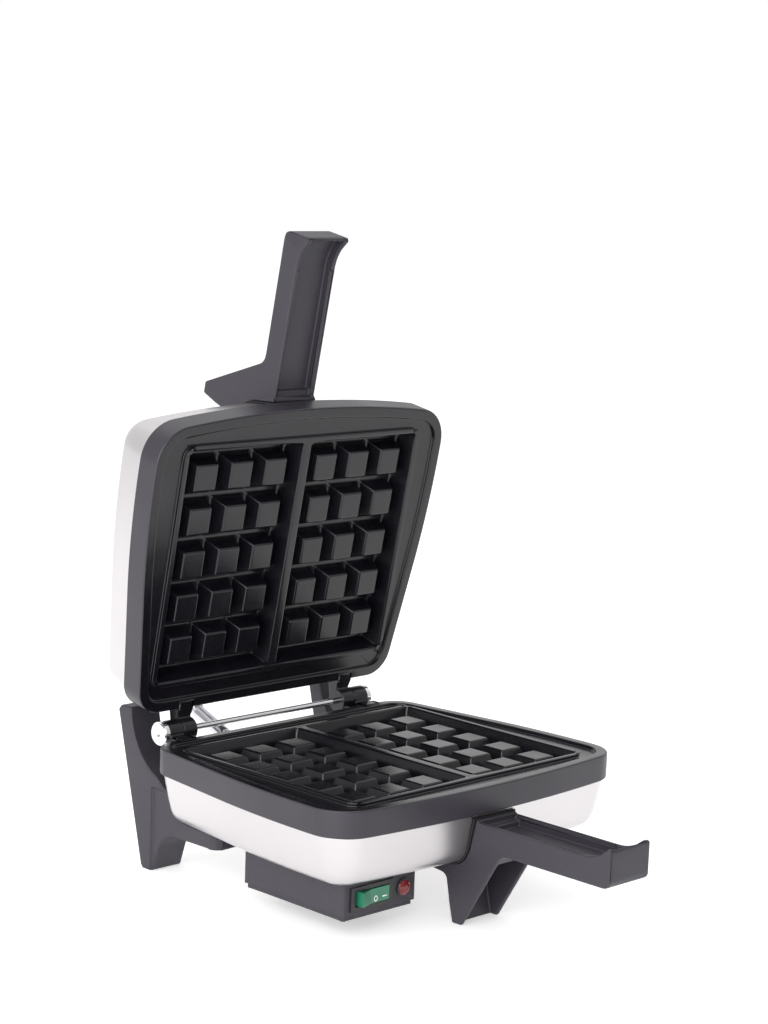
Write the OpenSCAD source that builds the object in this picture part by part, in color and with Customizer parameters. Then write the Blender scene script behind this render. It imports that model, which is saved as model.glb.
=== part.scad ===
// Double Brussels-waffle iron with two hinged cast plates, steel shells, moulded handles and rear stands.
// Frame: the origin is on the counter below the middle of the open waffle maker. +X runs along the hinge
// axis to the right, +Y points back to the hinge and +Z is up. The lid stands open at rest.
// A "half" is the lower half drawn with its origin in the middle of the waffle pattern, at the seam
// between the plates. The lid mirrors it.

/* [Layout] */
// Height of the seam between the plates above the counter
seam_z = 87.5; // [86:0.5:92]
// Distance of the hinge axis behind the middle of the waffle pattern
hinge_y = 108.6; // [108:0.2:110]
// Angle of the lid from closed in the rest pose
lid_open = 79; // [60:1:95]
// Gap left between each plate's rim and the seam
seam_gap = 1.6; // [1:0.1:2]

/* [Plates] */
// Greatest half width of a plate
plate_half_w = 120.5; // [118:0.5:124]
// Front edge of a plate on the centre line
plate_front = 97; // [96:0.5:100]
// Back edge of a plate
plate_back = 95; // [94:0.5:96]
// Radius of the bowed front edge
front_r = 820; // [700:10:1200]
// Radius of the bowed side edges
side_r = 620; // [560:10:700]
// Place along Y where the plate is widest
widest_y = -60; // [-70:1:-50]
// Radius of the plate's front corners in plan
corner_r = 24; // [22:1:28]
// Radius of the plate's rear corners in plan
rear_corner_r = 18; // [14:1:24]
// Depth of the bottom of a plate's outer band below the seam
band_h = 18; // [17:0.5:19]
// Width of the flat rim
rim_w = 7.2; // [6:0.2:9]
// Depth of the land round the waffles below the seam
land_drop = 3.8; // [3:0.1:4.4]
// Width of the raised bead round the waffles
bead_w = 3.2; // [2.5:0.1:4]
// Depth of the underside of the casting's floor below the seam
floor_under = 20; // [19:0.5:22]

/* [Waffle pattern] */
// Distance between the blocks
pitch = 28; // [27.5:0.1:28.2]
// Distance of the middle of a waffle from the centre line
waffle_x = 49.3; // [49:0.1:49.6]
// Half width of a block at its top
block_top = 8.4; // [7.5:0.1:9]
// Half width of a block at the floor
block_base = 12.2; // [11.5:0.1:12.8]
// Drop of the block tops below the seam
block_drop = 4.5; // [4.4:0.1:5]
// Height of the blocks
block_h = 11; // [9:0.5:12]
// Half width of a waffle pocket at the seam
pocket_half_x = 46.4; // [46:0.1:46.9]
// Half length of a waffle pocket at the seam
pocket_half_y = 75.4; // [74.5:0.1:76]
// Amount that each pocket wall leans in down to the floor
pocket_draft = 4.2; // [3:0.1:5]

/* [Shells] */
// Depth of a shell's flat bottom below the seam
shell_deep = 50; // [49:0.5:52]
// Thickness of the shell's steel
sheet = 1; // [0.8:0.1:1.2]

/* [Handles] */
// Width of a handle
grip_w = 33.5; // [32:0.5:36]
// Thickness of the handle's walls
grip_wall = 2.8; // [2.4:0.1:3.4]
// Reach of the handle's tip in front of the waffle pattern's middle
grip_reach = 201; // [195:1:206]
// Thickness of the pad between handle and shell
pad_t = 1.2; // [1:0.1:1.5]

/* [Hinge] */
// Radius of the hinge rod
rod_r = 2; // [1.8:0.1:2.2]
// Radius of the hinge knuckles
knuckle_r = 7.5; // [7:0.1:8]
// Inner end of a lid knuckle from the centre line
lid_knuckle_x = 63; // [62:0.5:64]
// Plane between a lid knuckle and its base knuckle
knuckle_split_x = 73.7; // [73:0.1:74]
// Outer end of a base knuckle from the centre line
base_knuckle_x = 85; // [84:0.5:86]
// Thickness of the round end caps on the rod
cap_t = 4; // [3.5:0.5:5]

/* [Rear stands] */
// Inner side of a stand from the centre line
stand_x0 = 69; // [68:0.5:70]
// Outer side of a stand from the centre line
stand_x1 = 92.5; // [91:0.5:94]
// Height of the stand's top above the seam
stand_top = 13; // [10:0.5:13.5]

/* [Switch box] */
// Left side of the switch box
box_x = -95; // [-97:0.5:-94]
// Front face of the switch box
box_y = -68; // [-69:0.5:-67]
// Width of the switch box
box_w = 59; // [58:0.5:60]
// Length of the switch box
box_l = 87; // [84:1:90]
// Height of the switch box above its cover
box_h = 21.6; // [21:0.2:22]
// Thickness of the cover under the box
cover_t = 3; // [2.5:0.5:4]
// Length of the rocker
rocker_l = 24; // [23:0.5:25]
// Height of the rocker
rocker_h = 8.6; // [8:0.1:9]
// Tilt of the rocker either side of level
rocker_tilt = 8; // [6:0.5:9]
// Radius of the indicator lamp's lens
lamp_r = 5; // [4.6:0.1:5.2]

/* [Conduit] */
// Place of the conduit along X
conduit_x = -32; // [-36:1:-30]
// Outer radius of the conduit
conduit_r = 4.4; // [4:0.1:4.6]

/* [Hidden] */
$fn = 48;
eps = 0.01;

// Place of the waffle pattern's middle behind the origin
pattern_y = 20.5;

// Plates: where the sides run out straight to the back, and the tightest corner of an inset outline
tail_y = 20;
corner_min = 8;

// Waffle pattern
columns = 3;
rows = 5;
floor_z = -(block_drop + block_h);
block_lean = (block_base - block_top) / block_h;
bead_half_x = waffle_x + pocket_half_x + bead_w;
bead_half_y = pocket_half_y + bead_w;

// Shell: depth below the seam and inset from the plate's outline, from the band down
shell_steps = [[band_h, 2.4], [40, 7], [46.2, 10.4], [49.1, 14.6], [shell_deep, 19]];

// Shell and element fixings, shared by both halves
bosses = [[-25, -66], [25, -66], [-60, 70], [60, 70]];
boss_r = 5;
screw_r = 2;
handle_screws = [[-8, -69], [8, -69]];
stand_screw_y = [56, 70];
stand_mid_x = (stand_x0 + stand_x1) / 2;
element_r = 3.3;
element_z = -(floor_under + element_r);
reflector_z = -34;

// Side profile of a handle in Y and Z, with the seam at z = 0
wall_y = -plate_front;
pad_in = 0.1;
pad_out = pad_in + pad_t;
grip_top = -22;
grip_under = -38;
foot_z = -seam_z;
foot_y = -80.5;
lid_grip_up = 2.3;
lid_grip_out = 3;
tongue_y = -57;
tip_r = 6;

// Switch box
box_top = -(shell_deep + 0.2);
box_bottom = box_top - box_h;
box_wall = 2;
switch_x = box_x + 22;
switch_z = box_top - 12;
bezel_w = 34;
bezel_h = 14.4;
bezel_t = 1.2;
housing_w = 31.5;
housing_h = 12;
housing_d = 16;
window_w = rocker_l + 3.4;
window_h = rocker_h + 1;
pivot_y = box_y + 4.6;
lamp_x = box_x + 48;
lamp_z = switch_z - 0.2;
gland_x = box_x + 36;
gland_z = box_top - 11;
box_screws = [[box_x + 8, box_y + 22], [box_x + box_w - 8, box_y + 22],
              [box_x + 8, box_y + box_l - 9], [box_x + box_w - 8, box_y + box_l - 9]];

// Conduit: where it leaves the shells, in the half's frame
gland_y = plate_back - 6;
gland_low_z = -35;
gland_high_z = -33;
gland_len = 7;
gland_tilt = 50;
conduit_gap = 0.3;
conduit_mid = [127.7, -3.3];
conduit_slope = 20;
conduit_bends = [12, 8];

// ---------- helpers ----------

// Prism with its section in X and Z, running from y0 to y1
module along_y(points, y0, y1) {
    translate([0, y1, 0]) rotate([90, 0, 0]) linear_extrude(y1 - y0) polygon(points);
}

// Prism with its section in Y and Z, running from x0 to x1
module along_x(points, x0, x1) {
    translate([x0, 0, 0]) rotate([90, 0, 90]) linear_extrude(x1 - x0) polygon(points);
}

// Puts a half's lower shape in place
module base_half() {
    translate([0, pattern_y, seam_z]) children();
}

// Mirrors a half's shape to the lid and swings it open about the hinge
module lid_half() {
    translate([0, pattern_y + hinge_y, seam_z]) rotate([-lid_open, 0, 0]) translate([0, -hinge_y, 0])
        mirror([0, 0, 1]) children();
}

// Cylinder along X
module rod_x(r, x0, x1) {
    translate([x0, 0, 0]) rotate([0, 90, 0]) cylinder(r = r, h = x1 - x0);
}

// Points of an arc in a plane
function arc(cx, cy, r, a0, a1, n = 6) =
    [for (i = [0:n]) [cx + r * cos(a0 + (a1 - a0) * i / n), cy + r * sin(a0 + (a1 - a0) * i / n)]];

// Pan-head screw pointing up, its head below z = 0
module screw(len, r = screw_r) {
    translate([0, 0, -eps]) cylinder(r = r, h = len);
    difference() {
        translate([0, 0, -2.2]) cylinder(r = 2 * r, h = 2.2);
        translate([0, 0, -2.2 - eps]) for (a = [0, 90]) rotate(a) translate([-1.6 * r, -0.4, 0])
            cube([3.2 * r, 0.8, 1.1]);
    }
}

// ---------- plates ----------

// Outline of a plate, moved in by an inset: bowed front and sides, straight tails and back. The right
// half runs from the middle of the front to the middle of the back and the left half mirrors it.
function plan_half(inset) = let (
    front = [0, front_r - plate_front], side = [plate_half_w - side_r, widest_y],
    fr = front_r - inset, sr = side_r - inset,
    r1 = max(corner_r - inset, corner_min), r2 = max(rear_corner_r - inset, corner_min),
    d = norm(front - side), u = (front - side) / d,
    x = (d * d + pow(sr - r1, 2) - pow(fr - r1, 2)) / (2 * d), h = sqrt(pow(sr - r1, 2) - x * x),
    c1 = side + u * x + [u[1], -u[0]] * h,
    a1 = atan2(c1[1] - front[1], c1[0]), a2 = atan2(c1[1] - side[1], c1[0] - side[0]),
    a3 = asin((tail_y - widest_y) / side_r),
    y2 = plate_back - inset - r2,
    c2 = [side[0] + (sr - r2 - (y2 - side[1]) * sin(a3)) / cos(a3), y2]
) concat(
    arc(front[0], front[1], fr, -90, a1, 12), arc(c1[0], c1[1], r1, a1, a2, 10),
    arc(side[0], side[1], sr, a2, a3, 12), arc(c2[0], c2[1], r2, a3, 90, 10)
);

module plan(inset = 0) {
    right = plan_half(inset);
    n = len(right);
    polygon(concat([for (i = [1:n - 1]) right[i]], [for (i = [n - 1:-1:0]) [-right[i][0], right[i][1]]]));
}

module rounded_box(half_x, half_y, r) {
    offset(r = r) square([2 * (half_x - r), 2 * (half_y - r)], center = true);
}

// Blocks of one waffle: ridges along Y crossed with ridges along X
module blocks() {
    low = -1;
    base = block_base - low * block_lean;
    section = [[-base, floor_z + low], [base, floor_z + low], [block_top, -block_drop], [-block_top, -block_drop]];
    intersection() {
        for (c = [0:columns - 1]) translate([(c - (columns - 1) / 2) * pitch, 0, 0])
            along_y(section, -90, 90);
        for (r = [0:rows - 1]) translate([0, (r - (rows - 1) / 2) * pitch, 0])
            along_x(section, -60, 60);
    }
}

// Hollow of one waffle without its blocks
module pocket() {
    lean = pocket_draft / -floor_z;
    x0 = pocket_half_x - pocket_draft;
    y0 = pocket_half_y - pocket_draft;
    x1 = pocket_half_x + lean;
    y1 = pocket_half_y + lean;
    difference() {
        intersection() {
            along_y([[-x0, floor_z], [x0, floor_z], [x1, 1], [-x1, 1]], -90, 90);
            along_x([[-y0, floor_z], [y0, floor_z], [y1, 1], [-y1, 1]], -60, 60);
            translate([0, 0, floor_z - 1]) linear_extrude(-floor_z + 3)
                rounded_box(pocket_half_x + 1, pocket_half_y + 1, 8);
        }
        blocks();
    }
}

// One hinge knuckle with its arm, between two planes
module knuckle(x0, x1, bore) {
    arm = [[plate_back - 5, -14], [plate_back - 5, -1], [hinge_y, -1], [hinge_y, -knuckle_r + 0.2]];
    difference() {
        union() {
            along_x(arm, x0, x1);
            translate([0, hinge_y, 0]) rod_x(knuckle_r, x0, x1);
        }
        translate([0, hinge_y, 0]) rod_x(bore, x0 - 1, x1 + 1);
    }
}

// Cast plate with its knuckles between two planes on each side
module casting(knuckle_x0, knuckle_x1, bore) {
    difference() {
        union() {
            translate([0, 0, -band_h]) linear_extrude(band_h - seam_gap) plan();
            translate([0, 0, -floor_under]) linear_extrude(floor_under - band_h + 1)
                rounded_box(bead_half_x + 2, bead_half_y + 2, 10);
            for (b = bosses) translate([b.x, b.y, -shell_deep + sheet + 0.1])
                cylinder(r = boss_r, h = shell_deep - band_h);
        }
        translate([0, 0, -land_drop]) linear_extrude(land_drop + 1) difference() {
            plan(rim_w);
            rounded_box(bead_half_x, bead_half_y, 9);
        }
        for (s = [-1, 1]) translate([s * waffle_x, 0, 0]) pocket();
        translate([0, 0, -band_h - 1]) linear_extrude(band_h - 6) difference() {
            plan(5);
            rounded_box(bead_half_x + 2, bead_half_y + 2, 10);
        }
        for (b = bosses) translate([b.x, b.y, -shell_deep])
            cylinder(r = screw_r + 0.04, h = 14);
    }
    for (s = [0, 1]) mirror([s, 0, 0]) knuckle(knuckle_x0, knuckle_x1, bore);
}

module lower_plate() {
    color("#2b2b2e") base_half() casting(knuckle_split_x + 0.2, base_knuckle_x, rod_r + 0.02);
}

module lid_plate() {
    color("#2b2b2e") lid_half() casting(lid_knuckle_x, knuckle_split_x - 0.2, rod_r + 0.05);
}

// ---------- shells ----------

// Solid form of a shell, moved in by an inset, with its mouth at the band
module shell_form(inset, mouth) {
    hull() for (s = shell_steps)
        translate([0, 0, s[0] == band_h ? -band_h + mouth : -s[0] + inset])
            linear_extrude(eps) plan(s[1] + inset);
}

// Shell with its holes, the conduit's at a height and tilt
module shell(z, tilt) {
    difference() {
        shell_form(0, -0.3);
        shell_form(sheet, 1);
        for (b = bosses) translate([b.x, b.y, -shell_deep - 1]) cylinder(r = screw_r + 0.2, h = 4);
        for (b = handle_screws) translate([b.x, b.y, -shell_deep - 1]) cylinder(r = screw_r + 0.2, h = 4);
        translate([conduit_x, gland_y, z]) rotate([-90 + tilt, 0, 0])
            cylinder(r = conduit_r + 1.6, h = 24, center = true);
    }
}

module lower_shell() {
    color("#d9d9dc") base_half() difference() {
        shell(gland_low_z, gland_tilt);
        for (s = [-1, 1], y = stand_screw_y) translate([s * stand_mid_x, y, -shell_deep - 1])
            cylinder(r = screw_r + 0.2, h = 4);
        translate([box_x + 38, box_y + 50, -shell_deep - 1]) cylinder(r = 7, h = 4);
    }
}

module lid_shell() {
    color("#d9d9dc") lid_half() shell(gland_high_z, 0);
}

module shell_screws() {
    for (b = bosses) translate([b.x, b.y, -shell_deep]) screw(12);
}

module lower_shell_screws() {
    color("#a0a0a4") base_half() shell_screws();
}

module lid_shell_screws() {
    color("#a0a0a4") lid_half() shell_screws();
}

// ---------- heating ----------

// Tubular element: a wide bow along the back and a return loop under each waffle
module element() {
    outer = 72;
    inner = 24;
    back = 52;
    bend = 16;
    front = -38;
    loop = (outer - inner) / 2;
    translate([0, 0, element_z]) {
        translate([0, back, 0]) rod_x(element_r, -outer + bend, outer - bend);
        for (s = [0, 1]) mirror([s, 0, 0]) {
            translate([outer - bend, back - bend, 0])
                rotate_extrude(angle = 90) translate([bend, 0]) circle(r = element_r, $fn = 32);
            translate([outer, front, 0]) rotate([-90, 0, 0]) cylinder(r = element_r, h = back - bend - front);
            translate([outer - loop, front, 0]) rotate(180)
                rotate_extrude(angle = 180) translate([loop, 0]) circle(r = element_r, $fn = 32);
            translate([inner, front, 0]) rotate([-90, 0, 0]) cylinder(r = element_r, h = 62);
            translate([inner, front + 62, 0]) rotate([-90, 0, 0]) cylinder(r = 1.3, h = 12);
        }
    }
}

module element_clamps() {
    for (s = [-1, 1], y = [-10, 20]) translate([s * 72, y, -floor_under]) difference() {
        union() {
            translate([-9, -4, -2 * element_r - 1.6]) cube([18, 8, 2 * element_r + 1.5]);
        }
        translate([0, -5, -element_r]) rotate([-90, 0, 0]) cylinder(r = element_r + 0.05, h = 10);
        translate([-element_r - 0.05, -5, -element_r]) cube([2 * element_r + 0.1, 10, element_r + 1]);
    }
}

module reflector() {
    translate([0, 0, reflector_z]) linear_extrude(0.8) difference() {
        plan(17);
        for (b = bosses) translate(b) circle(r = boss_r + 0.4);
        circle(r = 12);
        translate([conduit_x, 80]) circle(r = 8);
    }
    for (b = bosses) translate([b.x, b.y, reflector_z]) difference() {
        cylinder(r = boss_r + 2, h = 0.8);
        translate([0, 0, -1]) cylinder(r = boss_r + 0.1, h = 3);
    }
}

module lower_element() { color("#6f6a64") base_half() element(); }
module lid_element() { color("#6f6a64") lid_half() element(); }
module lower_element_clamps() { color("#b9b9bd") base_half() element_clamps(); }
module lid_element_clamps() { color("#b9b9bd") lid_half() element_clamps(); }
module lower_reflector() { color("#c4c4c8") base_half() reflector(); }
module lid_reflector() { color("#c4c4c8") lid_half() reflector(); }

module thermostat() {
    color("#c9b38a") base_half() translate([0, -12, -floor_under]) {
        translate([0, 0, -8]) cylinder(r = 8, h = 8);
        translate([-12, -3, -1.2]) cube([24, 6, 1.2]);
        for (s = [-1, 1]) translate([s * 4 - 1.5, -3, -13]) cube([3, 0.8, 6]);
    }
}

module thermal_fuse() {
    color("#d8d0c0") base_half() translate([0, 14, -floor_under - 2.1]) {
        rod_x(2, -7, 7);
        rod_x(0.6, -16, 16);
    }
}

// ---------- handles ----------

// Root of a handle where it follows the shell's front, from the tongue up to the top
function root_line(gap) = [
    [tongue_y, -shell_deep - gap], [wall_y + 19, -shell_deep - gap],
    [wall_y + 14.6 - gap * 0.5, -49.1 - gap * 0.85], [wall_y + 10.4 - gap * 0.8, -46.2 - gap * 0.55],
    [wall_y + 7 - gap, -40 - gap * 0.1], [wall_y + 2.7 - gap, -20]
];

// The rest of the profile round the grip and leg, moved out from the hinge, with its underside moved up
function grip_line(up, out) = concat(
    [[wall_y + 2 - pad_out, grip_top + up / 2 + 1.2], [wall_y - 2, grip_top + up / 2]],
    arc(-grip_reach - out + 24, grip_top + up / 2 + 28, 28, -90, -118, 5),
    arc(-grip_reach - out + 4.6, -17.6 + up / 2, 2.8, 62, 150, 4),
    arc(-grip_reach - out + 2 + tip_r, grip_under + up + tip_r, tip_r, 180, 270, 5),
    arc(-121 - out / 2, grip_under + up - 8, 8, 90, 30, 4),
    [[foot_y - out - 6.5, foot_z], [foot_y - out + 1, foot_z], [-76.5 - out, -76], [-74 - out, -63.5]],
    arc(-69 - out, -63.5, 5, 150, 90, 3),
    [[tongue_y, -57.5]]
);

module handle(up = 0, out = 0) {
    inner = grip_w / 2 - grip_wall;
    top = grip_top + up / 2;
    reach = grip_reach + out;
    trough = concat(
        [[-98.5, -10], [-98.5, top - 3], [-102, top - 3], [-102, top - 6.5]],
        arc(-reach + 24, top + 25.5, 32, -90, -128, 6),
        [[-reach + 3.4, -10]]
    );
    channel = [
        [foot_y - out - 2.2, foot_z - 1], [-79.6 - out, -76], [-77.2 - out, -62], [-80 - out, -52],
        [-88 - out, -44.5], [-126 - out, -44.5], [-126 - out, foot_z - 1]
    ];
    difference() {
        intersection() {
            along_x(concat(root_line(pad_out), grip_line(up, out)), -grip_w / 2, grip_w / 2);
            translate([0, 0, -120]) linear_extrude(140) offset(r = 4) offset(delta = -4)
                translate([-grip_w / 2, -reach]) square([grip_w, reach - 40]);
        }
        along_x(trough, -inner, inner);
        translate([0, 0, top - 1.4]) linear_extrude(20) translate([-inner - 1.1, -176 - out])
            square([2 * inner + 2.2, 76 + out]);
        along_x(channel, -inner, inner);
        for (b = handle_screws) translate([b.x, b.y, -57.5]) cylinder(r = screw_r + 0.04, h = 10);
    }
}

module handle_pad() {
    half_w = grip_w / 2 + 1;
    difference() {
        along_x(concat(root_line(pad_in), [for (i = [5:-1:0]) root_line(pad_out - 0.05)[i]]), -half_w, half_w);
        for (b = handle_screws) translate([b.x, b.y, -60]) cylinder(r = screw_r + 0.2, h = 20);
    }
}

module handle_screw_set() {
    for (b = handle_screws) translate([b.x, b.y, -shell_deep + sheet]) mirror([0, 0, 1]) screw(7.5);
}

module lower_handle() { color("#2c2b2e") base_half() handle(); }
module lid_handle() { color("#2c2b2e") lid_half() handle(lid_grip_up, lid_grip_out); }
module lower_handle_pad() { color("#161616") base_half() handle_pad(); }
module lid_handle_pad() { color("#161616") lid_half() handle_pad(); }
module lower_handle_screws() { color("#a0a0a4") base_half() handle_screw_set(); }
module lid_handle_screws() { color("#a0a0a4") lid_half() handle_screw_set(); }

// ---------- rear stands ----------

// Left stand as seen from its side: foot at the back, arch, and a toe under the shell
module stand_left() {
    gap = 0.4;
    toe_y = 48;
    toe_z = -61;
    front_edge = concat(
        [[132, stand_top]],
        arc(89, 13, 42.5, 0, -68, 8),
        [[97, -32.6], [plate_back - 5.6 + gap, -36.4], [plate_back - 7 + gap, -40], [plate_back - 10.4 + gap, -46.2 - gap],
         [plate_back - 14.6 + gap, -49.1 - gap]]
    );
    outline = concat(
        [[144.2, stand_top - 3], [141.5, stand_top]],
        front_edge,
        [[plate_back - 19, -shell_deep - gap], [toe_y, -shell_deep - gap], [toe_y, toe_z]],
        arc(88, toe_z - 16, 15.5, 92, 20, 6),
        [[107.5, foot_z + 1], [108.5, foot_z], [118, foot_z], [119.6, foot_z + 1.5]]
    );
    column = [[109.5, foot_z - 1], [109.5, -34], [97, -34], [40, -34], [40, foot_z - 1]];
    hollow = [
        [116.5, foot_z + 4], [139.5, 8], [134.5, 8], [126, -20], [112.5, -36], [112.5, foot_z + 4]
    ];
    difference() {
        along_x(outline, -stand_x1, -stand_x0);
        along_x(column, -stand_x1 - 1, -stand_x1 + 1);
        translate([0, 0, -120]) linear_extrude(140) difference() {
            translate([-stand_x1 - 5, toe_y - 5]) square([11, 15]);
            translate([-stand_x1 + 9, toe_y + 8]) circle(r = 8);
            translate([-stand_x1 + 1, toe_y + 8]) square([20, 20]);
        }
        along_x(hollow, -stand_x1 + 3, -stand_x0 - 3);
        for (y = stand_screw_y) translate([-stand_mid_x, y, -shell_deep - 9]) cylinder(r = screw_r + 0.04, h = 12);
    }
}

module left_stand() { color("#2c2b2e") base_half() stand_left(); }
module right_stand() { color("#2c2b2e") base_half() mirror([1, 0, 0]) stand_left(); }

module stand_screws() {
    color("#a0a0a4") base_half() for (s = [-1, 1], y = stand_screw_y)
        translate([s * stand_mid_x, y, -shell_deep + sheet]) mirror([0, 0, 1]) screw(8);
}

// ---------- switch box ----------

module switch_box() {
    color("#35343a") base_half() difference() {
        translate([box_x, box_y, box_bottom]) linear_extrude(box_h) offset(r = 2.5) offset(delta = -2.5)
            square([box_w, box_l]);
        translate([box_x + box_wall, box_y + box_wall, box_bottom - 1])
            cube([box_w - 2 * box_wall, box_l - 2 * box_wall, box_h - box_wall + 1]);
        translate([switch_x - housing_w / 2 - 0.2, box_y - 1, switch_z - housing_h / 2 - 0.2])
            cube([housing_w + 0.4, box_wall + 2, housing_h + 0.4]);
        translate([lamp_x, box_y - 1, lamp_z]) rotate([-90, 0, 0]) cylinder(r = 4.6, h = box_wall + 2);
        translate([gland_x, box_y + box_l - box_wall - 1, gland_z]) rotate([-90, 0, 0])
            cylinder(r = 6, h = box_wall + 2);
        translate([box_x + 38, box_y + 50, box_top - box_wall - 1]) cylinder(r = 6, h = box_wall + 2);
    }
    color("#35343a") base_half() for (b = box_screws) translate([b.x, b.y, box_bottom + 0.1]) difference() {
        cylinder(r = 3.5, h = box_h - 1);
        translate([0, 0, -1]) cylinder(r = 1.4, h = 12);
    }
}

module switch_box_cover() {
    color("#2c2b2e") base_half() difference() {
        translate([box_x, box_y, box_bottom - cover_t]) linear_extrude(cover_t - 0.1) offset(r = 2)
            offset(delta = -3.5) square([box_w, box_l]);
        for (b = box_screws) translate([b.x, b.y, box_bottom - cover_t - 1]) cylinder(r = 1.8, h = cover_t + 2);
        for (b = box_screws) translate([b.x, b.y, box_bottom - cover_t - 1]) cylinder(r = 3.4, h = 2.6);
    }
}

module cover_screws() {
    color("#a0a0a4") base_half() for (b = box_screws)
        translate([b.x, b.y, box_bottom - cover_t + 1.6]) screw(8, 1.35);
}

module switch_housing() {
    color("#1b1b1d") base_half() translate([switch_x, 0, switch_z]) difference() {
        union() {
            translate([-bezel_w / 2, box_y - bezel_t, -bezel_h / 2]) cube([bezel_w, bezel_t, bezel_h]);
            translate([-housing_w / 2, box_y - bezel_t + eps, -housing_h / 2])
                cube([housing_w, housing_d + bezel_t, housing_h]);
        }
        translate([-window_w / 2, box_y - bezel_t - 1, -window_h / 2]) cube([window_w, 13.5, window_h]);
        translate([0, pivot_y, -rocker_h / 2 - 1.1]) cylinder(r = 1.05, h = rocker_h + 2.2);
    }
}

module switch_contacts() {
    color("#c9a25a") base_half() for (s = [-1, 1])
        translate([switch_x + s * 7.6 - 2.2, box_y + housing_d + 0.03, switch_z - 0.4]) cube([4.4, 8, 0.8]);
}

// Two-faced rocker on a short upright axle, tilted to its rest side
module switch_rocker() {
    half = rocker_l / 2;
    valley = 3;
    face = pivot_y - box_y + 1.6;
    color("#0f7d4f") base_half() translate([switch_x, pivot_y, switch_z]) rotate(rocker_tilt) {
        translate([0, 0, -rocker_h / 2]) linear_extrude(rocker_h) polygon([
            [-half, -face - 1.9], [-valley, -face], [half, -face - 1.9], [half, 0], [4, 3.4], [-4, 3.4], [-half, 0]
        ]);
        translate([0, 0, -rocker_h / 2 - 1]) cylinder(r = 1, h = rocker_h + 2);
    }
}

module lamp_bezel() {
    color("#1b1b1d") base_half() translate([lamp_x, box_y, lamp_z]) rotate([90, 0, 0]) difference() {
        union() {
            cylinder(r = lamp_r + 0.6, h = 1);
            translate([0, 0, -9]) cylinder(r = 4.5, h = 9.1);
        }
        translate([0, 0, -10]) cylinder(r = 3.7, h = 14);
    }
}

module lamp_lens() {
    color("#b01818") base_half() translate([lamp_x, box_y, lamp_z]) rotate([90, 0, 0]) {
        translate([0, 0, 1.05]) cylinder(r = lamp_r, h = 1.2);
        translate([0, 0, 2.2]) cylinder(r1 = lamp_r, r2 = lamp_r - 1.2, h = 1);
        translate([0, 0, -6]) cylinder(r = 3.6, h = 7.1);
    }
}

module lamp_body() {
    color("#d8d8d0") base_half() translate([lamp_x, box_y, lamp_z]) rotate([-90, 0, 0]) {
        translate([0, 0, 9.1]) cylinder(r = 4, h = 6);
        for (s = [-1, 1]) translate([s * 2 - 1, -0.3, 15]) cube([2, 0.6, 2.8]);
    }
}

module cord_gland() {
    color("#1b1b1d") base_half() translate([gland_x, box_y + box_l, gland_z]) rotate([-90, 0, 0]) difference() {
        union() {
            translate([0, 0, -box_wall - 0.1]) cylinder(r = 5.9, h = box_wall + 0.2);
            cylinder(r = 7.6, h = 2.5);
            translate([0, 0, 2.4]) cylinder(r1 = 6.2, r2 = 5, h = 9);
            translate([0, 0, -box_wall - 2.1]) cylinder(r = 7.4, h = 2.1);
        }
        translate([0, 0, -6]) cylinder(r = 3.6, h = 20);
    }
}

module terminal_block() {
    color("#e6e2d6") base_half() translate([box_x + 24, box_y + 40, box_top - box_wall - 12.4]) difference() {
        cube([10, 28, 12.3]);
        for (i = [0:2]) translate([-1, 5.5 + i * 8.5, 5]) rotate([0, 90, 0]) cylinder(r = 1.8, h = 12);
    }
}

module earth_stud() {
    color("#c9a25a") base_half() translate([40, 40, -shell_deep + sheet]) {
        cylinder(r = 2, h = 9);
        cylinder(r = 4, h = 2.4, $fn = 6);
    }
}

// ---------- hinge ----------

module hinge_rod() {
    color("#c8c8cc") base_half() translate([0, hinge_y, 0]) rod_x(rod_r, -base_knuckle_x - 2, base_knuckle_x + 2);
}

module hinge_caps() {
    color("#e4e4e8") base_half() for (s = [0, 1]) mirror([s, 0, 0]) translate([0, hinge_y, 0]) difference() {
        union() {
            rod_x(knuckle_r - 0.1, base_knuckle_x + 0.1, base_knuckle_x + cap_t - 0.8);
            rod_x(knuckle_r - 0.9, base_knuckle_x + cap_t - 0.9, base_knuckle_x + cap_t);
        }
        rod_x(rod_r + 0.02, base_knuckle_x - 1, base_knuckle_x + 2.02);
        translate([base_knuckle_x + 2.6, 0, 0]) rotate([0, 90, 0]) cylinder(r = 2.3, h = 5, $fn = 6);
    }
}

// ---------- conduit between base and lid ----------

// End of a gland in the half's frame, and the same on the lid in the rest pose
function gland_end(z, tilt) = let (d = gland_len + conduit_gap) [gland_y + d * cos(tilt), z + d * sin(tilt)];
function on_lid(p) = let (y = p[0] - hinge_y, z = -p[1])
    [hinge_y + y * cos(lid_open) + z * sin(lid_open), z * cos(lid_open) - y * sin(lid_open)];

// Crossing of a line from p at angle a with the conduit's middle run
function meet(p, a) = let (m = conduit_mid, t = tan(conduit_slope))
    let (k = (m[1] - p[1] + (p[0] - m[0]) * t) / (sin(a) - cos(a) * t)) p + k * [cos(a), sin(a)];

module conduit_gland(z, tilt) {
    translate([conduit_x, gland_y, z]) rotate([-90 + tilt, 0, 0]) difference() {
        union() {
            translate([0, 0, -6]) cylinder(r = conduit_r + 1.5, h = 6 + gland_len);
            if (tilt == 0)
                translate([0, 0, 2.6]) cylinder(r = conduit_r + 3, h = gland_len - 4.2, $fn = 6);
        }
        translate([0, 0, -7]) cylinder(r = conduit_r - 0.8, h = 16 + gland_len);
    }
}

module lower_conduit_gland() { color("#b9b9bd") base_half() conduit_gland(gland_low_z, gland_tilt); }
module lid_conduit_gland() { color("#b9b9bd") lid_half() conduit_gland(gland_high_z, 0); }

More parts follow.
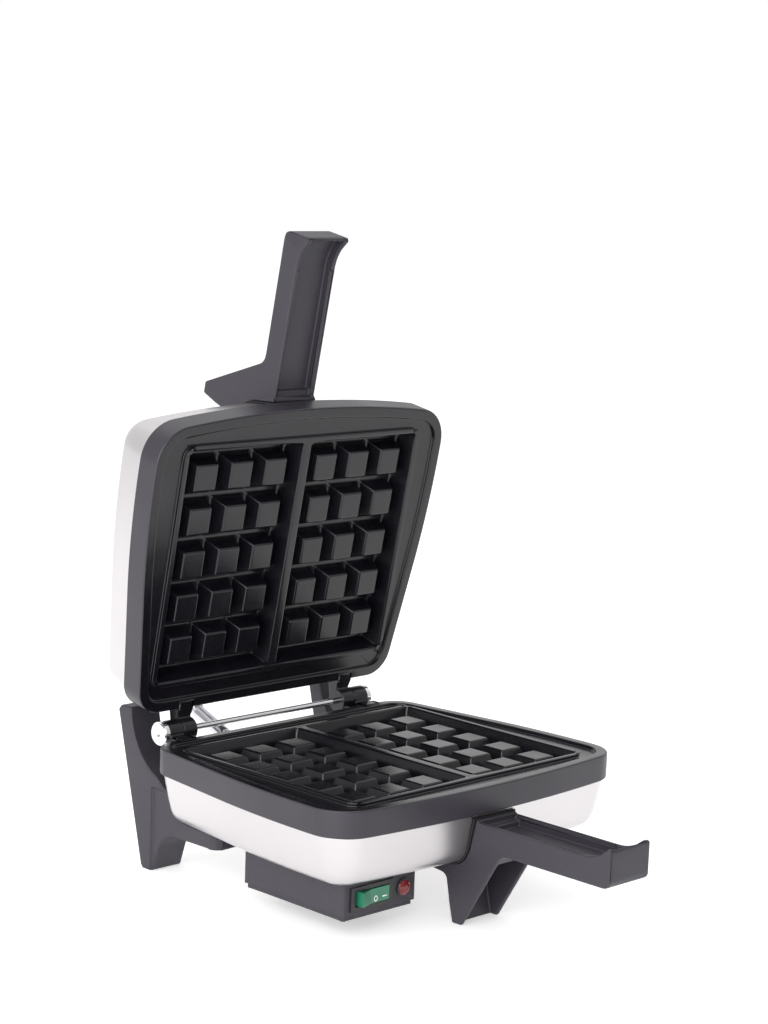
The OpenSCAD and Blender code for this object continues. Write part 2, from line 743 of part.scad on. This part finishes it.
// Straight run between two points, lapping into its neighbours
module run(a, b, lap0, lap1) {
    d = b - a;
    translate([conduit_x, a[0], a[1]]) rotate([atan2(-d[0], d[1]), 0, 0])
        translate([0, 0, -lap0]) cylinder(r = conduit_r, h = norm(d) + lap0 + lap1);
}

// Bend round a corner in Y and Z, from one direction to the next
module bow(corner, r, a0, a1) {
    side = a1 > a0 ? 90 : -90;
    mean = (a0 + a1) / 2;
    centre = corner + r / cos((a1 - a0) / 2) * [cos(mean + side), sin(mean + side)];
    translate([0, centre[0], centre[1]]) rotate([90, 0, 90]) rotate(min(a0, a1) - side)
        rotate_extrude(angle = abs(a1 - a0)) translate([r, 0]) circle(r = conduit_r + 0.06);
}

module conduit() {
    lap = 0.2;
    low = gland_end(gland_low_z, gland_tilt);
    high = on_lid(gland_end(gland_high_z, 0));
    rise = 180 - lid_open;
    corner0 = meet(low, gland_tilt);
    corner1 = meet(high, -lid_open);
    k0 = conduit_bends[0] * tan((gland_tilt - conduit_slope) / 2);
    k1 = conduit_bends[1] * tan((rise - conduit_slope) / 2);
    mid = [cos(conduit_slope), sin(conduit_slope)];
    color("#b4b4ba") base_half() {
        run(low, corner0 - k0 * [cos(gland_tilt), sin(gland_tilt)], 0, lap);
        run(corner0 + k0 * mid, corner1 - k1 * mid, lap, lap);
        run(corner1 + k1 * [cos(rise), sin(rise)], high, lap, 0);
        translate([conduit_x, 0, 0]) {
            bow(corner0, conduit_bends[0], gland_tilt, conduit_slope);
            bow(corner1, conduit_bends[1], conduit_slope, rise);
        }
    }
}

lower_plate();
lower_shell();
lower_element();
lower_element_clamps();
lower_reflector();
lower_shell_screws();
lower_handle();
lower_handle_pad();
lower_handle_screws();
left_stand();
right_stand();
stand_screws();
switch_box();
switch_box_cover();
cover_screws();
switch_housing();
switch_contacts();
switch_rocker();
lamp_bezel();
lamp_lens();
lamp_body();
cord_gland();
terminal_block();
earth_stud();
thermostat();
thermal_fuse();
hinge_rod();
hinge_caps();
lower_conduit_gland();
conduit();
lid_plate();
lid_shell();
lid_element();
lid_element_clamps();
lid_reflector();
lid_shell_screws();
lid_handle();
lid_handle_pad();
lid_handle_screws();
lid_conduit_gland();
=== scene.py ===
"""Looks of a double waffle maker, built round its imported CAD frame. Metres, +Z up, hinge to the rear."""

import math

import bmesh
import bpy
from mathutils import Matrix, Vector
from mathutils.bvhtree import BVHTree


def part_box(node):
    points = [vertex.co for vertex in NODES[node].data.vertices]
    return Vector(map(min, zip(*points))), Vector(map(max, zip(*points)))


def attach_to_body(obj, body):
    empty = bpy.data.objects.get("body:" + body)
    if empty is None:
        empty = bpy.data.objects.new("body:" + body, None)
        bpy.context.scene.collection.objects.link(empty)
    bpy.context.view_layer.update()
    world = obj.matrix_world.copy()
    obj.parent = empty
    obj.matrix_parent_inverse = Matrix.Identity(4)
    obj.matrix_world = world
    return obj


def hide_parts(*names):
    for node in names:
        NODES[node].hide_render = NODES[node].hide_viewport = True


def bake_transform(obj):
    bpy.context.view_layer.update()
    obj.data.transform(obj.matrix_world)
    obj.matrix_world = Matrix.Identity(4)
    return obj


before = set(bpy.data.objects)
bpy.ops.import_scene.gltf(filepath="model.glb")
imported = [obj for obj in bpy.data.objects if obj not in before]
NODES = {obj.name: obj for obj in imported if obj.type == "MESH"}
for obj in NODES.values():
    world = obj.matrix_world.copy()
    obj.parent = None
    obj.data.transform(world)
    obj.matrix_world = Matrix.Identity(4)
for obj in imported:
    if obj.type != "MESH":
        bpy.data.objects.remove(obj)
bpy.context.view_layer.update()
MM = 0.001

# Layout, in millimetres and degrees, as in the CAD. A half's own frame has its origin in the middle of its
# waffle pattern, on the seam between the halves, and its outside lies towards -Z.
SEAM_Z = 87.5
PATTERN_Y = 20.5
HINGE_Y = 108.6
LID_OPEN = 79
HALF_W, FRONT, BACK = 120.5, 97, 95
FRONT_R, SIDE_R, WIDEST_Y, TAIL_Y = 820, 620, -60, 20
CORNER_R, REAR_R, CORNER_MIN = 24, 18, 8
BAND_Z, SHELL_Z = -18, -50

# From a half's frame in metres to the row frame
LOWER = Matrix.Translation(Vector((0, PATTERN_Y, SEAM_Z)) * MM)
LID = (Matrix.Translation(Vector((0, PATTERN_Y + HINGE_Y, SEAM_Z)) * MM)
       @ Matrix.Rotation(math.radians(-LID_OPEN), 4, "X")
       @ Matrix.Translation(Vector((0, -HINGE_Y, 0)) * MM)
       @ Matrix.Diagonal((1, 1, -1, 1)))


# ---------- materials ----------

# Sockets of a Mix node that mixes colours, which share their names with its other kinds
MIX_FACTOR, MIX_A, MIX_B, MIX_RESULT = 0, 6, 7, 2

# Where most of a noise's values lie
NOISE_LOW, NOISE_HIGH = 0.3, 0.7


def socket(node, name, value):
    node.inputs[name].default_value = value


class Shader:
    """A Principled material with helpers for its procedural detail."""

    def __init__(self, name, color, rough, metal=0.0, ior=1.5, coat=0.0):
        self.mat = bpy.data.materials.new(name)
        self.mat.use_nodes = True
        self.tree = self.mat.node_tree
        self.bsdf = self.tree.nodes["Principled BSDF"]
        socket(self.bsdf, "Base Color", (*color, 1))
        socket(self.bsdf, "Roughness", rough)
        socket(self.bsdf, "Metallic", metal)
        socket(self.bsdf, "IOR", ior)
        socket(self.bsdf, "Coat Weight", coat)
        socket(self.bsdf, "Coat Roughness", 0.08)
        self.color, self.rough = color, rough
        self.coords = self.tree.nodes.new("ShaderNodeTexCoord")
        self.normal = None

    def link(self, a, b):
        self.tree.links.new(a, b)

    def noise(self, scale, detail, stretch=None):
        """Noise over the piece, drawn out along an axis by a stretch below 1."""
        tex = self.tree.nodes.new("ShaderNodeTexNoise")
        socket(tex, "Scale", scale)
        socket(tex, "Detail", detail)
        where = self.coords.outputs["Object"]
        if stretch:
            mapping = self.tree.nodes.new("ShaderNodeMapping")
            socket(mapping, "Scale", stretch)
            self.link(where, mapping.inputs["Vector"])
            where = mapping.outputs["Vector"]
        self.link(where, tex.inputs["Vector"])
        return tex.outputs["Fac"]

    def spread(self, source, low, high):
        """Noise spread between two values."""
        ramp = self.tree.nodes.new("ShaderNodeMapRange")
        socket(ramp, "From Min", NOISE_LOW)
        socket(ramp, "From Max", NOISE_HIGH)
        socket(ramp, "To Min", low)
        socket(ramp, "To Max", high)
        self.link(source, ramp.inputs["Value"])
        return ramp.outputs["Result"]

    def vary_rough(self, source, amount):
        varied = self.spread(source, self.rough - amount, self.rough + amount)
        self.link(varied, self.bsdf.inputs["Roughness"])
        return self

    def vary_color(self, source, amount):
        mix = self.tree.nodes.new("ShaderNodeMix")
        mix.data_type = "RGBA"
        socket(mix, MIX_A, (*[c * (1 - amount) for c in self.color], 1))
        socket(mix, MIX_B, (*[min(1, c * (1 + amount)) for c in self.color], 1))
        self.link(self.spread(source, 0, 1), mix.inputs[MIX_FACTOR])
        self.link(mix.outputs[MIX_RESULT], self.bsdf.inputs["Base Color"])
        return self

    def bump(self, source, strength, distance):
        """Relief of a height in metres, over any added before."""
        node = self.tree.nodes.new("ShaderNodeBump")
        socket(node, "Strength", strength)
        socket(node, "Distance", distance)
        self.link(source, node.inputs["Height"])
        if self.normal:
            self.link(self.normal, node.inputs["Normal"])
        self.normal = node.outputs["Normal"]
        self.link(self.normal, self.bsdf.inputs["Normal"])
        return self


def make_materials():
    """Every finish by its short name. A colour is linear, and a noise's scale is per metre."""
    m = {}
    s = Shader("nonstick_coating", (0.005, 0.0045, 0.007), 0.23, ior=1.48)
    s.vary_color(s.noise(60, 4), 0.25).vary_rough(s.noise(38, 3), 0.05)
    s.bump(s.noise(2600, 2), 0.12, 0.00006).bump(s.noise(260, 3), 0.10, 0.00008)
    m["coating"] = s.mat

    s = Shader("band_coating", (0.030, 0.027, 0.035), 0.40, ior=1.45)
    s.vary_color(s.noise(45, 4), 0.06).vary_rough(s.noise(30, 3), 0.04)
    s.bump(s.noise(2400, 2), 0.16, 0.00006)
    m["band"] = s.mat

    s = Shader("moulded_plastic", (0.036, 0.033, 0.042), 0.46, ior=1.40)
    s.vary_color(s.noise(1300, 2), 0.16).vary_rough(s.noise(24, 3), 0.05)
    s.bump(s.noise(1500, 3), 0.45, 0.00012)
    m["plastic"] = s.mat

    s = Shader("black_plastic", (0.018, 0.018, 0.020), 0.38)
    s.vary_rough(s.noise(40, 3), 0.05).bump(s.noise(2200, 2), 0.15, 0.00005)
    m["black"] = s.mat

    s = Shader("pad_rubber", (0.006, 0.006, 0.006), 0.7)
    s.vary_rough(s.noise(60, 3), 0.06).bump(s.noise(1500, 3), 0.25, 0.0001)
    m["rubber"] = s.mat

    s = Shader("satin_steel", (0.62, 0.597, 0.606), 0.31, metal=1.0)
    socket(s.bsdf, "Anisotropic", 0.35)
    s.vary_rough(s.noise(700, 3, (0.05, 1, 1)), 0.025).vary_color(s.noise(12, 3), 0.02)
    m["shell"] = s.mat

    s = Shader("chrome", (0.88, 0.88, 0.89), 0.07, metal=1.0)
    s.vary_rough(s.noise(120, 3), 0.025)
    m["chrome"] = s.mat

    s = Shader("bright_steel", (0.80, 0.80, 0.82), 0.16, metal=1.0)
    s.vary_rough(s.noise(700, 3, (1, 0.02, 1)), 0.04)
    m["steel"] = s.mat

    s = Shader("zinc_plate", (0.62, 0.62, 0.64), 0.30, metal=1.0)
    s.vary_rough(s.noise(200, 3), 0.07).vary_color(s.noise(80, 3), 0.08)
    m["zinc"] = s.mat

    s = Shader("conduit_metal", (0.60, 0.60, 0.63), 0.22, metal=1.0)
    s.vary_rough(s.noise(150, 3), 0.05)
    m["conduit"] = s.mat

    s = Shader("element_sheath", (0.20, 0.17, 0.15), 0.5, metal=1.0)
    s.vary_color(s.noise(70, 4), 0.35).vary_rough(s.noise(60, 3), 0.08)
    m["sheath"] = s.mat

    s = Shader("reflector_sheet", (0.72, 0.72, 0.74), 0.34, metal=1.0)
    s.vary_rough(s.noise(90, 3), 0.08)
    m["sheet"] = s.mat

    s = Shader("rocker_green", (0.018, 0.165, 0.090), 0.24, coat=0.3)
    s.vary_color(s.noise(90, 3), 0.10).bump(s.noise(900, 2), 0.05, 0.00004)
    m["green"] = s.mat

    s = Shader("mark_white", (0.85, 0.86, 0.84), 0.4)
    s.vary_color(s.noise(200, 3), 0.03)
    m["white"] = s.mat

    s = Shader("lamp_red", (0.16, 0.003, 0.006), 0.10, coat=0.3)
    socket(s.bsdf, "Transmission Weight", 0.35)
    socket(s.bsdf, "Emission Color", (0.7, 0.02, 0.03, 1))
    socket(s.bsdf, "Emission Strength", 0.05)
    s.vary_color(s.noise(240, 3), 0.2)
    m["red"] = s.mat

    s = Shader("white_plastic", (0.72, 0.70, 0.64), 0.4)
    s.vary_rough(s.noise(50, 3), 0.05)
    m["cream"] = s.mat

    s = Shader("brass", (0.62, 0.45, 0.20), 0.3, metal=1.0)
    s.vary_rough(s.noise(100, 3), 0.07)
    m["brass"] = s.mat

    s = Shader("studio_floor", (0.90, 0.90, 0.90), 0.85)
    socket(s.bsdf, "Emission Color", (1, 1, 1, 1))
    socket(s.bsdf, "Emission Strength", 0.42)
    s.vary_color(s.noise(2, 2), 0.004)
    m["floor"] = s.mat
    return m


MAT = make_materials()


# ---------- shared tools ----------

def add_mesh(name, bm, materials):
    """A smooth-shaded object from a bmesh, which it frees."""
    bmesh.ops.recalc_face_normals(bm, faces=bm.faces)
    mesh = bpy.data.meshes.new(name)
    bm.to_mesh(mesh)
    bm.free()
    for material in materials:
        mesh.materials.append(material)
    for poly in mesh.polygons:
        poly.use_smooth = True
    obj = bpy.data.objects.new(name, mesh)
    bpy.context.scene.collection.objects.link(obj)
    return obj


# An edge this long in millimetres takes its full round, and a shorter one less, down to the least share
FULL_ROUND_LENGTH = 2.2
LEAST_ROUND = 0.5

# Points closer than this in metres are one, and faces that turn less than this in degrees are one flat
MERGE = 2e-6
FLAT_ANGLE = 0.4


def soften(obj, width, segments=3, angle=28):
    """Rounds edges sharper than an angle by a width in millimetres, and keeps flats flat."""
    bm = bmesh.new()
    bm.from_mesh(obj.data)
    weight = bm.edges.layers.float.new("bevel_weight_edge")
    for edge in bm.edges:
        if len(edge.link_faces) != 2:
            continue
        turn = math.degrees(edge.calc_face_angle(0))
        room = min(edge.calc_length() / MM / FULL_ROUND_LENGTH, 1)
        if turn > angle and room > LEAST_ROUND:
            edge[weight] = room
        elif turn > angle:
            edge.smooth = False
    bm.to_mesh(obj.data)
    bm.free()
    bevel = obj.modifiers.new("edges", "BEVEL")
    bevel.width = width * MM
    bevel.segments = segments
    bevel.limit_method = "WEIGHT"
    bevel.use_clamp_overlap = False
    even = obj.modifiers.new("flats", "WEIGHTED_NORMAL")
    even.weight = 80
    even.keep_sharp = True


def attach(obj, body, slot, *nodes):
    """Rides a piece on its body and lets it stand for any CAD nodes named. The slot is not used."""
    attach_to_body(obj, body)
    if nodes:
        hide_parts(*nodes)


def clean_copy(node):
    """The CAD node's solid as a bmesh, with the needless edges and points on its flats taken out."""
    bm = bmesh.new()
    bm.from_mesh(NODES[node].data)
    bmesh.ops.remove_doubles(bm, verts=bm.verts, dist=MERGE)
    bmesh.ops.dissolve_degenerate(bm, edges=bm.edges, dist=MERGE)
    bmesh.ops.dissolve_limit(bm, angle_limit=math.radians(FLAT_ANGLE), verts=bm.verts, edges=bm.edges)
    bmesh.ops.triangulate(bm, faces=[f for f in bm.faces if len(f.verts) > 4])
    return bm


def refine(node, body, slot, material, width, segments=3):
    """A CAD node's shape with its edges rounded as moulded."""
    obj = add_mesh(f"{node}_skin", clean_copy(node), [material])
    soften(obj, width, segments)
    attach(obj, body, slot, node)


def join_rings(bm, a, b):
    """Faces between two closed rings of as many points."""
    for i in range(len(a)):
        j = (i + 1) % len(a)
        bm.faces.new((a[i], a[j], b[j], b[i]))


def arc(cx, cy, r, a0, a1, n):
    """Points along an arc between two angles in degrees."""
    return [(cx + r * math.cos(math.radians(a0 + (a1 - a0) * i / n)),
             cy + r * math.sin(math.radians(a0 + (a1 - a0) * i / n))) for i in range(n + 1)]


def plan(inset):
    """A plate's outline moved in by an inset, as a closed loop of points in millimetres.

    A shallow front arc and bowed sides meet in round corners. Both corner arcs touch their neighbours, so
    their centres c1 and c2 follow from the radii.
    """
    fx, fy = 0.0, FRONT_R - FRONT
    sx, sy = HALF_W - SIDE_R, WIDEST_Y
    fr, sr = FRONT_R - inset, SIDE_R - inset
    r1, r2 = max(CORNER_R - inset, CORNER_MIN), max(REAR_R - inset, CORNER_MIN)
    d = math.hypot(fx - sx, fy - sy)
    ux, uy = (fx - sx) / d, (fy - sy) / d
    x = (d * d + (sr - r1) ** 2 - (fr - r1) ** 2) / (2 * d)
    h = math.sqrt((sr - r1) ** 2 - x * x)
    c1 = (sx + ux * x + uy * h, sy + uy * x - ux * h)
    a1 = math.degrees(math.atan2(c1[1] - fy, c1[0]))
    a2 = math.degrees(math.atan2(c1[1] - sy, c1[0] - sx))
    a3 = math.degrees(math.asin((TAIL_Y - WIDEST_Y) / SIDE_R))
    y2 = BACK - inset - r2
    s3, k3 = math.sin(math.radians(a3)), math.cos(math.radians(a3))
    c2 = (sx + (sr - r2 - (y2 - sy) * s3) / k3, y2)
    right = (arc(fx, fy, fr, -90, a1, 24) + arc(c1[0], c1[1], r1, a1, a2, 20)[1:]
             + arc(sx, sy, sr, a2, a3, 28)[1:] + arc(c2[0], c2[1], r2, a3, 90, 20))
    left = [(-px, py) for px, py in reversed(right[1:])]
    return right + left


# ---------- shells ----------

# A shell's profile from its mouth down, as (z, inset) points: a leaning wall, a bend and a flat bottom
SHEET = 0.9
WALL = [(BAND_Z + 0.3, 2.35), (-19, 2.6), (-24, 3.6), (-30, 4.75), (-36, 6.0), (-39.5, 6.85)]
BEND = [(-42, 7.65), (-44, 8.65), (-45.8, 9.95), (-47.2, 11.4), (-48.35, 13.1),
        (-49.2, 15.0), (-49.75, 17.1), (-49.97, 19.4), (-50, 21.5)]
BOTTOM = [(SHELL_Z, 27), (SHELL_Z, 40), (SHELL_Z, 60)]


def shell(node, half, body):
    """A drawn steel dish, its loops running from the mouth to the middle of the bottom."""
    bm = bmesh.new()
    loops = []
    for z, inset in WALL + BEND + BOTTOM:
        loops.append([bm.verts.new((x * MM, y * MM, z * MM)) for x, y in plan(inset)])
    for a, b in zip(loops, loops[1:]):
        join_rings(bm, a, b)
    bm.faces.new(loops[-1])
    obj = add_mesh(f"{node}_skin", bm, [MAT["shell"]])
    sheet = obj.modifiers.new("sheet", "SOLIDIFY")
    sheet.thickness = SHEET * MM
    sheet.offset = -1
    obj.data.transform(half)
    if half.determinant() < 0:
        obj.data.flip_normals()
    attach(obj, body, "shell_steel", node)


shell("lower_shell", LOWER, "base")
shell("lid_shell", LID, "lid")


# ---------- plates ----------

# Limits of the plate's outer band in its half's frame
BAND_SIDE_X, BAND_FRONT_Y, BAND_REAR_Y = 101, -84, 93.5
BAND_LOW, BAND_HIGH = BAND_Z - 1, -1
KNUCKLES_Y = 97
PLATE_MIDDLE = Vector((0, -10))


def on_band(p, n):
    """Whether a face at p with normal n is part of the outer band."""
    outside = abs(p.x) > BAND_SIDE_X or p.y < BAND_FRONT_Y or p.y > BAND_REAR_Y
    upright = abs(n.z) < 0.3
    if not (upright and outside and BAND_LOW < p.z < BAND_HIGH and p.y < KNUCKLES_Y):
        return False
    outwards = (p.xy - PLATE_MIDDLE).normalized()
    return outwards.dot(n.xy) > 0.2 or p.y > BAND_REAR_Y


def plate(node, half, body):
    """The cast plate with rounded edges, its outer band in the grey of the casting's outside."""
    obj = add_mesh(f"{node}_skin", clean_copy(node), [MAT["coating"], MAT["band"]])
    inverse = half.inverted()
    turn = inverse.to_3x3()
    for poly in obj.data.polygons:
        if on_band(inverse @ poly.center / MM, (turn @ poly.normal).normalized()):
            poly.material_index = 1
    soften(obj, 1.1, angle=25)
    attach(obj, body, "plate_coating", node)


plate("lower_plate", LOWER, "base")
plate("lid_plate", LID, "lid")


# ---------- moulded parts ----------

for half_name, home in (("lower", "base"), ("lid", "lid")):
    refine(f"{half_name}_handle", home, "moulded_plastic", MAT["plastic"], 1.1)
    refine(f"{half_name}_handle_pad", home, "pad_rubber", MAT["rubber"], 0.3, 2)
for side in ("left", "right"):
    refine(f"{side}_stand", "base", "moulded_plastic", MAT["plastic"], 1.3)
for box_part in ("switch_box", "switch_box_cover"):
    refine(box_part, "base", "moulded_plastic", MAT["plastic"], 0.5)


# ---------- conduit ----------

# The glands lie in their halves' frames. The route is in the lower half's, in Y and Z.
CONDUIT_X, CONDUIT_R = -32, 4.4
GLAND_Y, GLAND_LEN = 89, 7.3
LOW_GLAND_Z, LOW_TILT, HIGH_GLAND_Z = -35, 50, -33
MID, SLOPE, BENDS = (127.7, -3.3), 20, (12, 8)
TUCK = 3
RING_STEP, RING_POINTS = 1.2, 40


def heading(angle):
    """Unit vector in Y and Z at an angle from +Y."""
    return Vector((math.cos(math.radians(angle)), math.sin(math.radians(angle))))


def cross_mid(p, angle):
    """Where a line from p at an angle meets the conduit's middle run."""
    m, u, v = Vector(MID), heading(SLOPE), heading(angle)
    t = ((m.x - p.x) * u.y - (m.y - p.y) * u.x) / (v.x * u.y - v.y * u.x)
    return p + v * t


def bend(corner, radius, a0, a1, steps=14):
    """Points round a corner between two headings."""
    side = 90 if a1 > a0 else -90
    centre = corner + heading((a0 + a1) / 2 + side) * (radius / math.cos(math.radians(a1 - a0) / 2))
    return [centre + heading(a0 + (a1 - a0) * i / steps - side) * radius for i in range(steps + 1)]


def conduit_route():
    """Points along the conduit's middle, each end tucked into its gland."""
    low = Vector((GLAND_Y, LOW_GLAND_Z)) + heading(LOW_TILT) * GLAND_LEN
    y, z = GLAND_Y + GLAND_LEN - HINGE_Y, -HIGH_GLAND_Z
    c, k = math.cos(math.radians(LID_OPEN)), math.sin(math.radians(LID_OPEN))
    high = Vector((HINGE_Y + y * c + z * k, z * c - y * k))
    rise = 180 - LID_OPEN
    corners = [low - heading(LOW_TILT) * TUCK]
    corners += bend(cross_mid(low, LOW_TILT), BENDS[0], LOW_TILT, SLOPE)
    corners += bend(cross_mid(high, rise), BENDS[1], SLOPE, rise)
    corners.append(high + heading(rise) * TUCK)
    line = corners[:1]
    for p in corners[1:]:
        run = p - line[-1]
        count = max(1, int(run.length / RING_STEP))
        line += [line[-1] + run * (i / count) for i in range(1, count + 1)]
    return line


def make_conduit():
    """A bright tube from the lower shell to the lid's."""
    line = conduit_route()
    last = len(line) - 1
    bm = bmesh.new()
    rings = []
    for i, p in enumerate(line):
        ahead = (line[min(i + 1, last)] - line[max(i - 1, 0)]).normalized()
        across = Vector((0, -ahead.y, ahead.x))
        ring = []
        for j in range(RING_POINTS):
            a = math.tau * j / RING_POINTS
            out = Vector((1, 0, 0)) * math.cos(a) + across * math.sin(a)
            at = Vector((CONDUIT_X, p.x, p.y)) + out * CONDUIT_R
            ring.append(bm.verts.new(LOWER @ (at * MM)))
        rings.append(ring)
    for a, b in zip(rings, rings[1:]):
        join_rings(bm, a, b)
    bm.faces.new(rings[0])
    bm.faces.new(rings[-1])
    obj = add_mesh("conduit_tube", bm, [MAT["conduit"]])
    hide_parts("conduit")
    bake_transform(obj)


make_conduit()


# ---------- switch ----------

# Marks on the rocker, in the lower half's X and Z: the ring's centre and half sizes, the bar's two corners
OFF_CENTRE, OFF_OUTER, OFF_INNER = (-71.0, -64.1), (1.5, 1.8), (0.95, 1.2)
ON_LOW, ON_HIGH = (-65.6, -64.2), (-61.6, -63.4)
MARK_PROUD, MARK_SUNK = 0.06, -0.05
FACETS = 14

rocker_mesh = NODES["switch_rocker"].data
ROCKER = BVHTree.FromPolygons([v.co.copy() for v in rocker_mesh.vertices],
                              [tuple(p.vertices) for p in rocker_mesh.polygons])


def laid_ring(bm, points, lift):
    """Points dropped from the front onto the rocker's face, then lifted off it."""
    ring = []
    for x, z in points:
        start = LOWER @ (Vector((x, -120, z)) * MM)
        hit, normal, _, _ = ROCKER.ray_cast(start, Vector((0, 1, 0)))
        ring.append(bm.verts.new(hit + normal * lift * MM))
    return ring


def rocker_mark(name, outline, hole=None):
    """A printed mark lying on the rocker's face, from its outline and any hole."""
    bm = bmesh.new()
    top = laid_ring(bm, outline, MARK_PROUD)
    join_rings(bm, top, laid_ring(bm, outline, MARK_SUNK))
    if hole:
        hole_top = laid_ring(bm, hole, MARK_PROUD)
        join_rings(bm, top, hole_top)
        join_rings(bm, hole_top, laid_ring(bm, hole, MARK_SUNK))
    else:
        bm.faces.new(top)
    attach(add_mesh(name, bm, [MAT["white"]]), "rocker", "rocker_green")


def oval(centre, half_size, n=32):
    """Points round an upright oval."""
    return [(centre[0] + half_size[0] * math.cos(math.tau * i / n),
             centre[1] + half_size[1] * math.sin(math.tau * i / n)) for i in range(n)]


def make_lens():
    """A red jewel lens in flat facets, its rings from back to front as (y, share of the radius, turn)."""
    lo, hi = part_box("lamp_lens")
    cx, cz = (lo[0] + hi[0]) / 2, (lo[2] + hi[2]) / 2
    front, back = lo[1], hi[1]
    r = (hi[0] - lo[0]) / 2
    steps = [(back, 0.96, 0), (front + 2.3 * MM, 0.96, 0), (front + 1.7 * MM, 0.90, 0.5),
             (front + 0.7 * MM, 0.66, 0), (front + 0.15 * MM, 0.34, 0.5)]
    bm = bmesh.new()
    rings = []
    for y, share, turn in steps:
        angles = [math.tau * (i + turn) / FACETS for i in range(FACETS)]
        rings.append([bm.verts.new((cx + r * share * math.cos(a), y, cz + r * share * math.sin(a)))
                      for a in angles])
    join_rings(bm, rings[0], rings[1])
    for a, b, step in zip(rings[1:], rings[2:], steps[2:]):
        for i in range(FACETS):
            j = (i + 1) % FACETS
            if step[2]:
                bm.faces.new((a[i], a[j], b[i]))
                bm.faces.new((a[j], b[j], b[i]))
            else:
                bm.faces.new((a[i], a[j], b[j]))
                bm.faces.new((a[i], b[j], b[i]))
    bm.faces.new(rings[0])
    bm.faces.new(rings[-1])
    obj = add_mesh("lamp_jewel", bm, [MAT["red"]])
    for poly in obj.data.polygons:
        poly.use_smooth = False
    attach(obj, "base", "lamp_red", "lamp_lens")


rocker_mark("rocker_off_mark", oval(OFF_CENTRE, OFF_OUTER), oval(OFF_CENTRE, OFF_INNER))
rocker_mark("rocker_on_mark", [ON_LOW, (ON_HIGH[0], ON_LOW[1]), ON_HIGH, (ON_LOW[0], ON_HIGH[1])])
make_lens()


# ---------- remaining CAD nodes with their finishes ----------

FINISH = {
    "sheath": ["lower_element", "lid_element"],
    "zinc": ["lower_element_clamps", "lid_element_clamps", "lower_shell_screws", "lid_shell_screws",
             "lower_handle_screws", "lid_handle_screws", "stand_screws", "cover_screws", "thermostat",
             "lower_conduit_gland", "lid_conduit_gland"],
    "sheet": ["lower_reflector", "lid_reflector"],
    "black": ["switch_housing", "lamp_bezel", "cord_gland"],
    "brass": ["switch_contacts", "earth_stud"],
    "cream": ["lamp_body", "terminal_block", "thermal_fuse"],
    "steel": ["hinge_rod"],
    "chrome": ["hinge_caps"],
    "green": ["switch_rocker"],
}
for finish_name, members in FINISH.items():
    for member in members:
        data = NODES[member].data
        data.materials.clear()
        data.materials.append(MAT[finish_name])


# ---------- stage ----------

# The room is white behind the object, as seen from the camera, and dims towards the camera's side
TOWARDS_CAMERA = (-0.70, -0.71, 0.0)
DIM_FROM, DIM_TO = -0.6, 0.3
WHITE, DIM = 1.0, 0.5

# Where the camera stands and how it is turned: degrees round from -Y, above level, and tilted
CAMERA_AT = (-1.00845, -0.98974, 0.45342)
CAMERA_AZIMUTH, CAMERA_ELEVATION, CAMERA_ROLL = -44.82, 10.293, 2.10


def make_floor():
    bm = bmesh.new()
    bmesh.ops.create_grid(bm, x_segments=8, y_segments=8, size=6)
    add_mesh("floor", bm, [MAT["floor"]])


def area_light(name, size, power, position, target):
    data = bpy.data.lights.new(name, "AREA")
    data.shape = "RECTANGLE"
    data.size, data.size_y = size
    data.energy = power
    obj = bpy.data.objects.new(name, data)
    obj.location = position
    obj.rotation_mode = "QUATERNION"
    obj.rotation_quaternion = (Vector(target) - Vector(position)).to_track_quat("-Z", "Y")
    bpy.context.scene.collection.objects.link(obj)


def make_lights():
    area_light("left_bank", (2.6, 2.0), 54, (-1.95, -0.55, 0.75), (0, 0, 0.15))
    area_light("front_bank", (1.0, 0.7), 9, (-1.6, -1.6, 1.3), (0, 0, 0.15))
    area_light("top_bank", (1.8, 1.8), 12, (0.2, 0.6, 2.2), (0, 0, 0.1))


def make_room():
    world = bpy.data.worlds.new("studio")
    world.use_nodes = True
    tree = world.node_tree
    background = tree.nodes["Background"]
    socket(background, "Strength", 1.0)
    where = tree.nodes.new("ShaderNodeTexCoord")
    dim_side = tree.nodes.new("ShaderNodeVectorMath")
    dim_side.operation = "DOT_PRODUCT"
    dim_side.inputs[1].default_value = TOWARDS_CAMERA
    shade = tree.nodes.new("ShaderNodeMapRange")
    shade.interpolation_type = "SMOOTHSTEP"
    socket(shade, "From Min", DIM_FROM)
    socket(shade, "From Max", DIM_TO)
    socket(shade, "To Min", WHITE)
    socket(shade, "To Max", DIM)
    tree.links.new(where.outputs["Generated"], dim_side.inputs[0])
    tree.links.new(dim_side.outputs["Value"], shade.inputs["Value"])
    tree.links.new(shade.outputs["Result"], background.inputs["Color"])
    bpy.context.scene.world = world
    bpy.context.scene.view_settings.view_transform = "Standard"


def make_camera():
    """A long lens at the front left, slightly tilted."""
    data = bpy.data.cameras.new("camera")
    cam = bpy.data.objects.new("camera", data)
    bpy.context.scene.collection.objects.link(cam)
    azimuth, elevation, roll = (math.radians(a) for a in (CAMERA_AZIMUTH, CAMERA_ELEVATION, CAMERA_ROLL))
    level = math.cos(elevation)
    back = Vector((math.sin(azimuth) * level, -math.cos(azimuth) * level, math.sin(elevation)))
    right = (-back).cross(Vector((0, 0, 1))).normalized()
    up = right.cross(-back)
    c, k = math.cos(roll), math.sin(roll)
    right, up = right * c + up * k, up * c - right * k
    rotation = Matrix((right, up, back)).transposed().to_4x4()
    cam.matrix_world = Matrix.Translation(CAMERA_AT) @ rotation
    data.sensor_width = 36
    data.lens = 84.106
    data.shift_y = 0.0635
    data.clip_start, data.clip_end = 0.05, 50
    data.dof.use_dof = False
    bpy.context.scene.camera = cam


make_floor()
make_lights()
make_room()
make_camera()
